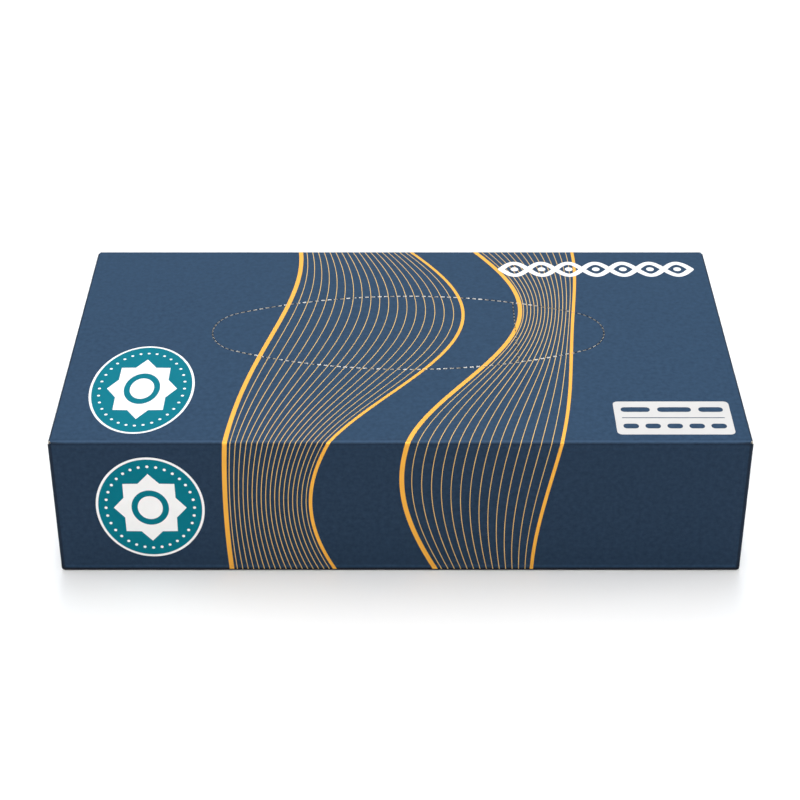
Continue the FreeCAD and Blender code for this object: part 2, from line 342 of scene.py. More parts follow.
class Blank:
    """The carton's flat blank and its fold.

    A place on the blank is (a, b). On the top panel a is X and b is Y. Further out, a runs on
    over the ends and b over the back or the front, measured along the printed face.
    """

    nudge = 0.01

    def __init__(self, board: Board, tear: TearOut) -> None:
        """Lays out the section's path.

        Args:
            board: The carton's sizes.
            tear: The perforation in its top panel.
        """
        self.board, self.tear = board, tear
        radius = board.crease
        self.bend = radius * QUARTER
        layer = board.thickness + board.glue
        self.hinge = board.length / 2 - radius
        flat, wall = board.depth - 2 * radius, board.height - 2 * radius
        crease = Run(self.bend, QUARTER)
        self.runs = [
            Run(board.glue_flap),
            crease,
            Run(wall - board.thickness, 0, board.side_sag, self.hinge, 2 * layer),
            crease,
            Run(flat, 0, board.top_sag, self.hinge),
            crease,
            Run(wall, 0, board.side_sag, self.hinge, 2 * layer),
            crease,
            Run(flat - board.seam_ledge, 0, 0, self.hinge, layer),
        ]
        self.starts = np.cumsum([0.0] + [run.length for run in self.runs])
        self.middle = (self.starts[Stretch.TOP.value] + self.starts[Stretch.TOP.value + 1]) / 2
        self.headings = np.cumsum([0.0] + [run.turn for run in self.runs])
        first = (board.depth / 2 - radius - board.glue_flap, board.floor + board.thickness)
        corners = [np.array(first)]
        for run, heading in zip(self.runs, self.headings):
            corners.append(corners[-1] + path_step(run.length, run.rate, heading))
        self.corners = np.array(corners)

    def edge(self, stretch: Stretch, along: float = 0.0) -> float:
        """The b of the place that lies so far along one stretch."""
        return float(self.middle - self.starts[stretch.value] - along)

    def front(self, z: float) -> float:
        """The b of the place at height z on the front panel."""
        top = self.board.floor + self.board.height - self.board.crease
        return self.edge(Stretch.FRONT, top - z)

    def surface(self, a: Array, b: Array) -> tuple[Array, Array]:
        """The closed carton's printed face.

        The section's path gives y and z from b. Beyond its panel's hinge a place turns with
        the flap through up to a quarter circle, and runs on inwards from there. A flap that
        lies under others steps in beside its crease, as sin squared. A panel sags by its depth
        times sin squared along b times cos squared along a. The scores beside the creases and
        the perforation's groove are as deep as cos squared of the distance from their middle.

        Args:
            a: Places across the blank.
            b: Places along the blank.

        Returns:
            Rows of points in millimetres, and the panels' own outward normals.
        """
        way = self.middle - b
        last = len(self.runs) - 1
        index = np.clip(np.searchsorted(self.starts, way, side="right") - 1, 0, last)
        along = way - self.starts[index]
        rate, hinge, sag, length, inset = np.array(
            [(run.rate, run.hinge, run.sag, run.length, run.inset) for run in self.runs])[index].T
        heading = self.headings[index] + along * rate
        section = self.corners[index] + path_step(along, rate, self.headings[index])
        zero = np.zeros_like(a)
        outward = np.stack([zero, np.sin(heading), -np.cos(heading)], axis=1)
        sideways = np.stack([np.sign(a), zero, zero], axis=1)

        board, beyond = self.board, np.maximum(np.abs(a) - hinge, 0)
        angle = np.minimum(beyond / board.crease, QUARTER)
        flap = np.maximum(beyond - self.bend, 0)
        reach = np.minimum(np.abs(a), hinge) + board.crease * np.sin(angle)
        reach -= inset * ease(flap / board.step)
        drop = board.crease * (1 - np.cos(angle)) + flap
        over = bell(a, hinge) * np.sin(math.pi * along / length) ** 2
        drop = drop + np.where(beyond == 0, sag * over, 0)
        ends = np.where(rate == 0, np.minimum(along, length - along), 0)
        for inwards in (ends, np.where(beyond == 0, hinge - np.abs(a), 0)):
            drop = drop + board.score_depth * bell(inwards - board.score, board.score_width)
        top = index == Stretch.TOP.value
        drop = drop + np.where(top, self.tear.groove_depth * self.tear.pressed_and_shaded(a, b), 0)
        points = np.column_stack([zero, section]) + sideways * reach[:, None]
        points -= outward * drop[:, None]
        normals = outward * np.cos(angle)[:, None] + sideways * np.sin(angle)[:, None]
        return points, normals

    def fold(self, places: Array, lift: float) -> tuple[Array, Array]:
        """Carries places on the blank to the closed carton.

        The normal is the cross product of the ways that the face goes for a small step in a
        and in b.

        Args:
            places: Rows of (a, b).
            lift: How far the places lie off the printed face, outwards.

        Returns:
            Rows of points in metres, and rows of outward normals.
        """
        a, b = places.T
        points, rough = self.surface(a, b)
        steps = [self.surface(a + da, b + db)[0] - self.surface(a - da, b - db)[0]
                 for da, db in ((self.nudge, 0.0), (0.0, self.nudge))]
        return (points + rough * lift) * MM, unit(np.cross(*steps))

    def scores(self) -> Array:
        """How far the lines that shape a score lie from the crease beside it."""
        board = self.board
        return board.score + board.score_width * np.linspace(-1, 1, board.score_lines)

    def stations(self, first: float, last: float, step: float, crease_steps: int) -> Array:
        """Places along b from one to another, with each crease shared into steps of its own."""
        marks = [np.array([first, last])]
        for run, start in zip(self.runs, self.middle - self.starts):
            count = crease_steps if run.turn else max(1, round(run.length / step))
            marks.append(start - run.length * np.arange(count + 1) / count)
            if not run.turn:
                marks += [start - self.scores(), start - run.length + self.scores()]
        marks = np.unique(np.round(np.concatenate(marks), DIGITS))
        return marks[(marks >= min(first, last)) & (marks <= max(first, last))]


@dataclass(frozen=True)
class Cut:
    """Shapes cut from a flat sheet: rows of (a, b), and triangles between them."""

    places: Array
    triangles: Array

    @classmethod
    def joined(cls, cuts: list["Cut"]) -> "Cut":
        """Several cuts as one."""
        counts = np.cumsum([0] + [len(cut.places) for cut in cuts])
        triangles = [cut.triangles + count for cut, count in zip(cuts, counts)]
        return cls(np.concatenate([cut.places for cut in cuts]), np.concatenate(triangles))

    def rim(self) -> Array:
        """The edges that only one triangle has, in that triangle's direction."""
        edges = np.concatenate([self.triangles[:, pair] for pair in ([0, 1], [1, 2], [2, 0])])
        count = len(self.places)
        return edges[~np.isin(edges @ (count, 1), edges @ (1, count))]


def counter_clockwise(loop: Array) -> Array:
    """The outline in counter-clockwise order."""
    following = np.roll(loop, -1, axis=0)
    area = np.sum(loop[:, 0] * following[:, 1] - following[:, 0] * loop[:, 1])
    return loop if area > 0 else loop[::-1]


def fill(outlines: list[Array], holes: list | Array = (), lines: tuple | list = (),
         spacing: float = 5.0) -> Cut:
    """Fills closed outlines with triangles, round their holes and along lines.

    Rows of inner points let the shapes follow a panel's sag.

    Args:
        outlines: The outer outlines, each rows of (a, b).
        holes: The outlines of what is cut out.
        lines: Lines that triangles don't cross.
        spacing: How far apart the inner points are.

    Returns:
        The filled shapes.
    """
    places, edges, faces, count = [], [], [], 0
    for loop in [*outlines, *holes]:
        faces.append(list(range(count, count + len(loop))))
        places.append(counter_clockwise(np.asarray(loop)))
        count += len(loop)
    for line in lines:
        edges += [(count + i, count + i + 1) for i in range(len(line) - 1)]
        places.append(line)
        count += len(line)
    corners = np.concatenate(places)
    low, high = corners.min(axis=0), corners.max(axis=0)
    steps = [np.arange(start + spacing / 2, end, spacing) for start, end in zip(low, high)]
    inner = np.stack(np.meshgrid(*steps), axis=-1).reshape(-1, 2)
    corners = np.concatenate([corners, inner])
    flat, _, triangles, _, _, owners = delaunay_2d_cdt(
        [Vector(corner) for corner in corners.tolist()], edges, faces, FILL_OUTLINES, WELD)
    kept = [corner for corner, own in zip(triangles, owners) if own and max(own) < len(outlines)]
    used, indices = np.unique(np.array(kept), return_inverse=True)
    return Cut(np.array([tuple(flat[i]) for i in used]), indices.reshape(-1, 3))


def ribbon(left: Array, right: Array) -> Cut:
    """A strip between two edges with as many places each, from one end to the other.

    Args:
        left: The edge with the lower a, with b rising.
        right: The edge with the higher a.

    Returns:
        The strip, as two triangles for each step.
    """
    count = len(left)
    step = np.arange(count - 1)[:, None]
    triangles = [step + (0, count, count + 1), step + (0, count + 1, 1)]
    return Cut(np.concatenate([left, right]), np.concatenate(triangles))


def oval(middle: Pair, across: float, along: float, count: int = 96) -> Array:
    """An ellipse's outline, from its middle and its two half axes."""
    return np.array(middle) + rays(TURN * np.arange(count) / count) * (across, along)


def rounded(middle: Pair, width: float, height: float, radius: float,
            count: int = 8) -> Array:
    """A rectangle's outline with round corners: quarter circles about four inner corners."""
    quarter = QUARTER * np.arange(count + 1) / count
    inner = np.array([width / 2 - radius, height / 2 - radius])
    arcs = [inner * sides + radius * rays(quarter + turns * QUARTER)
            for turns, sides in enumerate([(1, 1), (-1, 1), (-1, -1), (1, -1)])]
    return np.array(middle) + np.concatenate(arcs)


def paint(red: int, green: int, blue: int) -> tuple[float, float, float, float]:
    """A colour of 0 to 255 values as a shader's linear values, by the curve of screens."""
    values = np.array([red, green, blue]) / 255
    linear = np.where(values <= 0.04045, values / 12.92, ((values + 0.055) / 1.055) ** 2.4)
    return (*(float(value) for value in linear), 1.0)


class Graph:
    """A material's nodes."""

    mix_first, mix_second, mix_result = 6, 7, 2

    def __init__(self, name: str) -> None:
        """Starts a material with an empty Principled shader."""
        self.material = bpy.data.materials.new(name)
        self.material.use_nodes = True
        self.tree = self.material.node_tree
        self.shader = self.tree.nodes["Principled BSDF"]
        self.place = self.add("ShaderNodeTexCoord").outputs["Object"]

    def add(self, kind: str, inputs: dict | None = None, **settings: object) -> bpy.types.Node:
        """Adds a node.

        Args:
            kind: The node's type.
            inputs: For each socket's name or number, its value or the socket that feeds it.
            settings: The node's own settings.

        Returns:
            The node.
        """
        node = self.tree.nodes.new(kind)
        for key, value in settings.items():
            setattr(node, key, value)
        for key, value in (inputs or {}).items():
            self.feed(node.inputs[key], value)
        return node

    def feed(self, socket: Socket, value: object) -> None:
        """Sets a socket to a number or a colour of 0 to 255 values, or joins another to it."""
        if isinstance(value, Socket):
            self.tree.links.new(value, socket)
        else:
            socket.default_value = paint(*value) if isinstance(value, tuple) else value

    def noise(self, size: float, detail: float, rough: float) -> Socket:
        """Cloudy noise from 0 to 1 whose spots are about so many millimetres wide."""
        node = self.add("ShaderNodeTexNoise", {"Vector": self.place, "Scale": 1 / (size * MM),
                                               "Detail": detail, "Roughness": rough})
        return node.outputs["Fac"]

    def spread(self, value: Socket, low: float, high: float,
               start: float = 0.3, end: float = 0.7) -> Socket:
        """Carries a value's range from start and end to low and high, and holds it there."""
        node = self.add("ShaderNodeMapRange", {"Value": value, "From Min": start,
                                               "From Max": end, "To Min": low, "To Max": high})
        return node.outputs["Result"]

    def blend(self, share: Socket, first: object, second: object) -> Socket:
        """Mixes two colours, each given by its values or by a socket."""
        node = self.add("ShaderNodeMix", {"Factor": share, self.mix_first: first,
                                          self.mix_second: second}, data_type="RGBA")
        return node.outputs[self.mix_result]

    def bump(self, height: Socket, depth: float) -> None:
        """Dents the surface by a height from 0 to 1, so many millimetres deep."""
        node = self.add("ShaderNodeBump", {"Height": height, "Distance": depth * MM,
                                           "Strength": 1.0})
        self.feed(self.shader.inputs["Normal"], node.outputs["Normal"])

    def set(self, **values: object) -> None:
        """Sets the shader's sockets, by their names with underscores for spaces."""
        for key, value in values.items():
            self.feed(self.shader.inputs[key.replace("_", " ")], value)


@dataclass(frozen=True)
class SatinPrint:
    """Ink that covers the board, under a satin varnish: faintly clouded, with a fine grain.

    A noise is given by the width of its spots in millimetres, its detail and its roughness.
    """

    name: str = "navy satin print"
    light: tuple = (43, 67, 92)
    dark: tuple = (29, 53, 77)
    # painted shade: the dark colour of the board's end creases, foot, front panel and groove
    pressed_and_shaded: tuple = (12, 19, 31)
    # painted highlight: the light colour of the strips beside the front's creases
    painted_highlight: tuple = (66, 88, 114)
    cloud: tuple = (1.6, 4, 0.6)
    sheen: tuple = (1.6, 4, 0.5)
    grain: tuple = (0.5, 3, 0.6)
    roughness: tuple = (0.46, 0.56)
    specular: float = 0.1
    depth: float = 0.012

    def material(self) -> bpy.types.Material:
        """Builds the finish.

        A cloud mixes its colours, and the grain dents it. The board's attribute of painted light
        mixes in the painted highlight colour, from 0 down to -1, and the painted shade colour,
        from 0 up to 1.
        """
        graph = Graph(self.name)
        clouds = graph.spread(graph.noise(*self.cloud), 0, 1)
        colour = graph.blend(clouds, self.dark, self.light)
        # The attribute holds the board's painted shade and painted highlight.
        painted_shade_and_light = graph.add("ShaderNodeAttribute", attribute_name=PAINTED_SHADE_AND_LIGHT).outputs["Fac"]
        # Mixes in the painted highlight colour, then the painted shade colour.
        for end, painted_light in ((-1, self.painted_highlight), (1, self.pressed_and_shaded)):
            colour = graph.blend(graph.spread(painted_shade_and_light, 0, 1, 0, end), colour, painted_light)
        rough = graph.spread(graph.noise(*self.sheen), *self.roughness)
        graph.set(Base_Color=colour, Roughness=rough, Specular_IOR_Level=self.specular)
        graph.bump(graph.noise(*self.grain), self.depth)
        return graph.material


@dataclass(frozen=True)
class FlatInk:
    """A spot ink: nearly even, with a faint cloud and the varnish's grain."""

    name: str
    light: tuple
    dark: tuple
    cloud: tuple = (9.0, 4, 0.6)
    grain: tuple = (0.5, 3, 0.6)
    spots: tuple = (0.3, 0.7)
    roughness: float = 0.5
    metallic: float = 0.0
    specular: float = 0.35
    depth: float = 0.008

    def material(self) -> bpy.types.Material:
        """Builds the finish: a cloud mixes its colours, and the grain dents it."""
        graph = Graph(self.name)
        share = graph.spread(graph.noise(*self.cloud), 0, 1, *self.spots)
        graph.set(Base_Color=graph.blend(share, self.dark, self.light),
                  Roughness=self.roughness, Metallic=self.metallic,
                  Specular_IOR_Level=self.specular)
        graph.bump(graph.noise(*self.grain), self.depth)
        return graph.material


@dataclass(frozen=True)
class RawBoard(FlatInk):
    """Unprinted board: the flecks of fibre that mix its colours dent it too."""

    cloud: tuple = (0.6, 5, 0.7)
    grain: tuple = (0.6, 5, 0.7)
    roughness: float = 0.9
    specular: float = 0.2
    depth: float = 0.03


class Finish(Enum):
    """What the pieces are dressed in."""

    NAVY = Slot.BOARD, SatinPrint()
    RAW = Slot.RAW, RawBoard("raw board edge", (226, 220, 208), (196, 186, 168))
    TORN = Slot.RAW, RawBoard("torn board edge", (240, 238, 235), (100, 94, 86),
                              (5.0, 5, 0.7), (5.0, 5, 0.7), (0.42, 0.58))
    INSIDE = Slot.RAW, RawBoard("raw board inside", (128, 120, 108), (106, 99, 89))
    GOLD = Slot.GOLD, FlatInk("gold ink", (236, 171, 61), (231, 166, 57), metallic=0.4)
    FINE_GOLD = Slot.GOLD, FlatInk("fine gold ink", (216, 178, 106), (207, 169, 98))
    TEAL = Slot.TEAL, FlatInk("teal ink", (0, 112, 127), (0, 107, 122), specular=0.05)
    WHITE = Slot.WHITE, FlatInk("white ink", (243, 241, 239), (239, 237, 235), specular=0.1)
    PALE = Slot.WHITE, FlatInk("label white", (205, 202, 199), (201, 198, 195), specular=0.1)

    def __init__(self, slot: Slot, look: SatinPrint | FlatInk) -> None:
        """Keeps the record's slot and what the finish looks like."""
        self.slot, self.look = slot, look


class Press:
    """Makes pieces from what is cut on the blank, and dresses them."""

    def __init__(self, blank: Blank) -> None:
        """Keeps the blank that every piece is folded with."""
        self.blank = blank
        self.materials: dict[Finish, bpy.types.Material] = {}

    def make(self, name: str, cut: Cut, lift: float, *finishes: Finish,
             under: float = 0.0) -> bpy.types.Object:
        """Folds a cut into a closed thin piece that rides on the carton's body.

        Args:
            name: The piece's name.
            cut: Its shape on the blank.
            lift: How far its outer skin lies off the printed face.
            finishes: One finish, or those of the outer skin, the rim and the inner skin.
            under: How far its inner skin lies off the printed face.

        Returns:
            The piece.
        """
        count = len(cut.places)
        outer, out_normals = self.blank.fold(cut.places, lift)
        inner, in_normals = self.blank.fold(cut.places, under)
        points = np.concatenate([outer, inner])
        rim = cut.rim()
        walls = np.column_stack([rim[:, ::-1], rim + count])
        turned = cut.triangles[:, ::-1]
        corners = np.concatenate([cut.triangles.ravel(), walls.ravel(), turned.ravel() + count])
        parts = [len(cut.triangles), len(walls), len(turned)]
        sizes = np.repeat([3, 4, 3], parts)
        sideways = unit(np.cross(points[walls[:, 1]] - points[walls[:, 0]],
                                 points[walls[:, 2]] - points[walls[:, 1]]))
        normals = np.concatenate([out_normals[cut.triangles.ravel()],
                                  np.repeat(sideways, 4, axis=0), -in_normals[turned.ravel()]])
        mesh = bpy.data.meshes.new(name)
        mesh.vertices.add(len(points))
        mesh.vertices.foreach_set("co", points.ravel())
        mesh.loops.add(len(corners))
        mesh.loops.foreach_set("vertex_index", corners.astype(np.int32))
        mesh.polygons.add(len(sizes))
        mesh.polygons.foreach_set("loop_start", (np.cumsum(sizes) - sizes).astype(np.int32))
        if len(finishes) > 1:
            kinds = np.repeat([0, 1, 2], parts)
            mesh.polygons.foreach_set("material_index", kinds.astype(np.int32))
        for finish in finishes:
            if finish not in self.materials:
                self.materials[finish] = finish.look.material()
            mesh.materials.append(self.materials[finish])
        mesh.update(calc_edges=True)
        mesh.normals_split_custom_set(normals.tolist())
        piece, slot = shown(name, mesh), finishes[0].slot
        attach(piece, BODY)
        log.info("%s: %d triangles", name, 2 * len(cut.triangles) + 2 * len(walls))
        return piece


@dataclass(frozen=True)
class FoldedBoard:
    """The printed board: one blank with its panels, flaps, perforation and creases."""

    press: Press
    spacing: float = 5.0
    crease_steps: int = 10
    corner_steps: int = 8
    step_lines: int = 4
    # Painted shade on the end creases, under the front crease, on the front panel and at the
    # foot, and painted highlight strips beside the front's creases.
    upright_shade: float = 0.75
    upright_lead: float = 0.6
    upright_rise: float = 4.0
    edge_shade: float = 0.6
    edge_rise: float = 0.35
    front_shade: float = 0.34
    foot_reach: float = 0.7
    foot_fade: float = 0.35
    rub: float = 0.4
    highlight_reach: float = 0.75
    top_highlight: float = 0.45
    foot_highlight: float = 1.2

    def half_outline(self) -> Array:
        """The blank's outline on the side of the right end, from the glue flap to the bottom."""
        blank, board = self.press.blank, self.press.blank.board
        slit, flap = blank.hinge + board.slit, blank.hinge + blank.bend
        dust = flap + board.dust_reach
        back, back_end = blank.edge(Stretch.BACK), blank.edge(Stretch.BACK_CREASE)
        front, front_end = blank.edge(Stretch.FRONT), blank.edge(Stretch.BOTTOM_CREASE)
        cover = flap + board.height - board.crease - board.outer_gap
        inner = flap + board.height - board.crease - board.inner_gap
        side = board.depth / 2 - board.outer_side
        under = blank.edge(Stretch.BOTTOM, board.inner_side - board.crease)
        under_end = under - board.depth + 2 * board.inner_side
        turn = QUARTER * np.arange(self.corner_steps + 1) / self.corner_steps
        corner = cover - board.outer_corner + board.outer_corner * np.sin(turn)
        round_off = side - board.outer_corner + board.outer_corner * np.cos(turn)
        relief, foot, taper = board.dust_relief, board.dust_foot, board.dust_taper
        notch, half = blank.hinge - board.notch, blank.bend / 2
        return np.array([
            (slit - board.glue_slant, blank.edge(Stretch.GLUE_FLAP)),
            (slit - board.glue_set, blank.edge(Stretch.SEAM_CREASE)),
            (notch, back),
            (flap, back - foot),
            (dust, back - taper),
            (dust, back_end + taper),
            (flap, back_end + relief),
            (notch, back_end - half),
            (slit, side),
            *zip(corner, round_off),
            *zip(corner[::-1], -round_off[::-1]),
            (slit, -side),
            (notch, front + half),
            (flap, front - relief),
            (dust, front - taper),
            (dust, front_end + taper),
            (flap, front_end + foot),
            (notch, front_end - half),
            (slit, under),
            (inner, under),
            (inner, under_end),
            (slit, under_end),
            (slit, blank.edge(Stretch.END)),
        ])

    def crease_lines(self) -> list[Array]:
        """Lines along every crease and score: across the panels, and along their ends."""
        blank = self.press.blank
        levels = blank.stations(blank.edge(Stretch.END), blank.edge(Stretch.GLUE_FLAP),
                                math.inf, self.crease_steps)
        across = np.linspace(-1, 1, 2 * round(blank.hinge / self.spacing) + 1) * blank.hinge
        lines = [rows(across, b) for b in levels]
        turn = blank.bend * np.linspace(0, 1, self.crease_steps + 1)
        step = blank.bend + blank.board.step * np.linspace(0, 1, self.step_lines + 1)
        columns = blank.hinge + np.concatenate([-blank.scores(), turn, step[1:]])
        for run, start in zip(blank.runs, blank.middle - blank.starts):
            if math.isfinite(run.hinge):
                count = max(2, round(run.length / self.spacing))
                along = np.linspace(start, start - run.length, count)
                lines += [rows(a, along) for a in np.concatenate([columns, -columns])]
        return lines

    def painted_shade_and_light(self, a: Array, b: Array) -> Array:
        """Painted shade on the print, up to 1, and painted highlight, down to -1.

        It is darker in the perforation's groove, painted shade in that recess. Painted shade
        darkens as sin squared along the first part of each end crease, where the board turns away
        from the lights, and stays dark on the rest; on the upright panels that starts a little
        before the crease. The front's bottom crease and the foot of the front are painted dark as
        the shadow where the carton stands on the floor; at the foot it fades as sin squared. The
        front panel between the creases above and below it is painted a little darker, as shade on
        the side away from the lights, and a line just above its upper edge is painted dark as the
        shade under the crease, as cos squared of the distance from it. The strip of the top
        behind the front crease carries a painted highlight, as cos squared of the distance from
        its middle, and so does the strip of the front above its dark foot.

        Args:
            a: Places across the blank.
            b: Places along the blank.

        Returns:
            The wear of each place.
        """
        blank = self.press.blank
        top_end, front, foot_crease, bottom = (blank.edge(stretch) for stretch in (
            Stretch.FRONT_CREASE, Stretch.FRONT, Stretch.BOTTOM_CREASE, Stretch.BOTTOM))
        lead = np.where(np.abs(b) < -top_end, 0, self.upright_lead)
        turned = np.clip((np.abs(a) - blank.hinge + lead) / blank.bend, 0, 1)
        panel = np.minimum(top_end - b, b - bottom)
        beside = np.minimum(foot_crease - b, b - bottom)
        # painted shade: the groove, the turned end creases, under the front crease, the front
        # panel and the shadow at the foot
        dark = np.maximum.reduce([
            blank.tear.pressed_and_shaded(a, b),
            self.upright_shade * ease(self.upright_rise * turned),
            self.edge_shade * bell(front + self.edge_rise - b, blank.board.crease),
            self.front_shade * np.clip(panel / blank.bend, 0, 1),
            ease((beside + self.foot_reach) / self.foot_fade),
        ])
        # painted highlight strips on the top behind the front crease and on the front above its
        # foot
        painted_highlight = self.rub * (bell(b - top_end - self.top_highlight, self.highlight_reach)
                             + bell(b - foot_crease - self.foot_highlight, self.highlight_reach))
        return dark - np.where(turned == 0, painted_highlight, 0)

    def build(self) -> None:
        """Cuts and folds the blank, with a real hole for each cut of the perforation."""
        half = self.half_outline()
        outline = np.concatenate([half, half[::-1] * (-1, 1)])
        tear = self.press.blank.tear
        lines = self.crease_lines() + tear.groove_lines()
        cut = fill([outline], tear.cuts(), lines, self.spacing)
        piece = self.press.make("carton_board", cut, 0.0, Finish.NAVY, Finish.RAW,
                                Finish.INSIDE, under=-self.press.blank.board.thickness)
        # The board's outer points carry painted shade and painted highlight; its inner skin gets
        # none.
        painted_light = self.painted_shade_and_light(*cut.places.T)
        marks = piece.data.attributes.new(PAINTED_SHADE_AND_LIGHT, "FLOAT", "POINT")
        marks.data.foreach_set("value", np.concatenate([painted_light, 0 * painted_light]).astype(np.float32))
        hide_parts(NODE)


@dataclass(frozen=True)
class CutEdges:
    """The torn white edge that the perforating knife leaves round each of its cuts."""

    press: Press
    lift: float
    width: float = 0.18
    end_width: float = 0.03
    overrun: float = 0.03

    def build(self) -> None:
        """Lays a thin frame round each cut, wider beside those of the two long arcs."""
        tear = self.press.blank.tear
        wide, narrow = (replace(tear, cut_length=tear.cut_length + 2 * self.overrun,
                                cut_width=tear.cut_width + 2 * width).cuts()
                        for width in (self.width, self.end_width))
        sides = 2 * round(2 * tear.joint_angle * tear.side_radius / tear.pitch)
        cut = fill([*wide[:sides], *narrow[sides:]], tear.cuts(), tear.groove_lines())
        self.press.make("perforation_edges", cut, self.lift, Finish.TORN)


@dataclass(frozen=True)
class WaveBand:
    """A band of wave lines that keep their order, from the back seam to the bottom crease.

    A line lies at the band's middle, plus a swing that is a sine of b, plus its share of the
    band's width, which a second sine narrows and widens.
    """

    press: Press
    name: str
    lifts: Pair
    middle: float
    swing: float
    wave: float
    start: float
    width: float
    squeeze: float
    squeeze_wave: float
    squeeze_start: float
    lines: int
    fine: float = 0.24
    bold: tuple = (1.5, 1.1)
    step: float = 1.5
    crease_steps: int = 12
    clear: float = 1.0

    def across(self, b: Array, share: float) -> Array:
        """The a of a line at its share of the width, from minus a half to a half."""
        swing = self.swing * np.sin(TURN * (b - self.start) / self.wave)
        narrow = 1 + self.squeeze * np.sin(TURN * (b - self.squeeze_start) / self.squeeze_wave)
        return self.middle + swing + share * self.width * narrow

    def edges(self, b: Array, share: float, weight: float) -> list[Array]:
        """A line's two edges: half its weight aside, or more where it runs slantwise."""
        slope = self.across(b + 0.5, share) - self.across(b - 0.5, share)
        half = weight / 2 * np.sqrt(1 + slope ** 2)
        return [rows(self.across(b, share) + side * half, b) for side in (-1, 1)]

    def print_lines(self, kind: str, weights: dict[float, float], lift: float,
                    finish: Finish) -> None:
        """Prints some of the band's lines, cut through where the perforation's cuts are.

        Args:
            kind: What the piece's name says of the lines.
            weights: How wide each line is, for its share of the band's width.
            lift: How thick the ink lies.
            finish: The finish of the lines.
        """
        blank, tear = self.press.blank, self.press.blank.tear
        reach = tear.width / 2 + self.clear
        ends = (blank.edge(Stretch.BOTTOM_CREASE), tear.y - reach, tear.y + reach,
                blank.edge(Stretch.SEAM_CREASE, blank.bend / 2))
        front, middle, back = (blank.stations(*pair, self.step, self.crease_steps)
                               for pair in zip(ends, ends[1:]))
        cuts, crossing = [], []
        for share, weight in weights.items():
            cuts += [ribbon(*self.edges(b, share, weight)) for b in (front, back)]
            left, right = self.edges(middle, share, weight)
            crossing.append(np.concatenate([right, left[::-1]]))
        cuts.append(fill(crossing, tear.cuts(), tear.groove_lines()))
        self.press.make(f"{self.name}_{kind}_lines", Cut.joined(cuts), lift, finish)

    def build(self) -> None:
        """Prints the band's fine lines and its two bold edges."""
        shares = np.linspace(-0.5, 0.5, self.lines)
        fine = {float(share): self.fine for share in shares[1:-1]}
        bold = dict(zip((-0.5, 0.5), self.bold))
        self.print_lines("fine", fine, self.lifts[0], Finish.FINE_GOLD)
        self.print_lines("bold", bold, self.lifts[1], Finish.GOLD)


@dataclass(frozen=True)
class Badge:
    """A plain oval badge: a field, a rim round it, a ring of dots and an eight-point star."""

    press: Press
    name: str
    lifts: Pair
    middle: Pair
    across: float
    along: float
    rim: Pair = (-0.05, 0.75)
    ring: float = 0.85
    dots: int = 32
    dot: float = 0.5
    dot_sides: int = 16
    points: int = 8
    tips: float = 0.7
    notches: float = 0.54
    eye: float = 0.36
    centre: float = 0.24

    def loop(self, share: float, off: float = 0.0, count: int = 96) -> Array:
        """An oval at a share of the field's half axes, and so far off that."""
        return oval(self.middle, share * self.across + off, share * self.along + off, count)

    def star(self) -> Array:
        """The star's outline: places on the badge's oval, turn about at its tips and notches."""
        corners = np.arange(2 * self.points)
        angles = math.pi * corners / self.points
        reach = np.where(corners % 2, self.notches, self.tips)[:, None]
        sizes = np.array([self.across, self.along])
        return np.array(self.middle) + reach * sizes * rows(np.sin(angles), np.cos(angles))

    def build(self) -> None:
        """Prints the field and its marks."""
        self.press.make(f"{self.name}_field", fill([self.loop(1)]), self.lifts[0], Finish.TEAL)
        inner, outer = (self.loop(1, off) for off in self.rim)
        dots = [oval(tuple(place), self.dot, self.dot, self.dot_sides)
                for place in self.loop(self.ring, count=self.dots)]
        marks = Cut.joined([fill([outer], [inner]), fill([*dots, self.loop(self.centre)]),
                            fill([self.star()], [self.loop(self.eye)])])
        self.press.make(f"{self.name}_marks", marks, self.lifts[1], Finish.WHITE)


@dataclass(frozen=True)
class Braid:
    """The ornament at the back of the top: two waves that cross, with a dot in each eye."""

    press: Press
    lift: float
    middle: Pair = (71.6, 50.3)
    width: float = 69.6
    height: float = 11.2
    weight: float = 2.2
    eyes: int = 7
    dot: float = 1.4
    dot_sides: int = 24
    steps: int = 24

    def strand(self, side: int) -> Array:
        """One strand's outline: a sine along the braid, half its weight to either side."""
        x = np.linspace(-0.5, 0.5, self.eyes * self.steps + 1) * self.width
        turn = math.pi * self.eyes / self.width
        rise = side * (self.height - self.weight) / 2
        place = rows(x, rise * np.sin(turn * (x + self.width / 2)))
        slope = rise * turn * np.cos(turn * (x + self.width / 2))
        half = unit(rows(-slope, 1.0)) * self.weight / 2
        return np.array(self.middle) + np.concatenate([place - half, (place + half)[::-1]])

    def build(self) -> None:
        """Prints the strands, the dots and the strands' round ends."""
        x, y = self.middle
        places = x + self.width / self.eyes * (np.arange(self.eyes) - (self.eyes - 1) / 2)
        dots = [oval((place, y), self.dot, self.dot, self.dot_sides) for place in places]
        ends = [oval((x + side * self.width / 2, y), self.weight / 2, self.weight / 2,
                     self.dot_sides) for side in (-1, 1)]
        cut = fill([self.strand(1), self.strand(-1), *dots, *ends])
        self.press.make("heading_braid", cut, self.lift, Finish.WHITE)


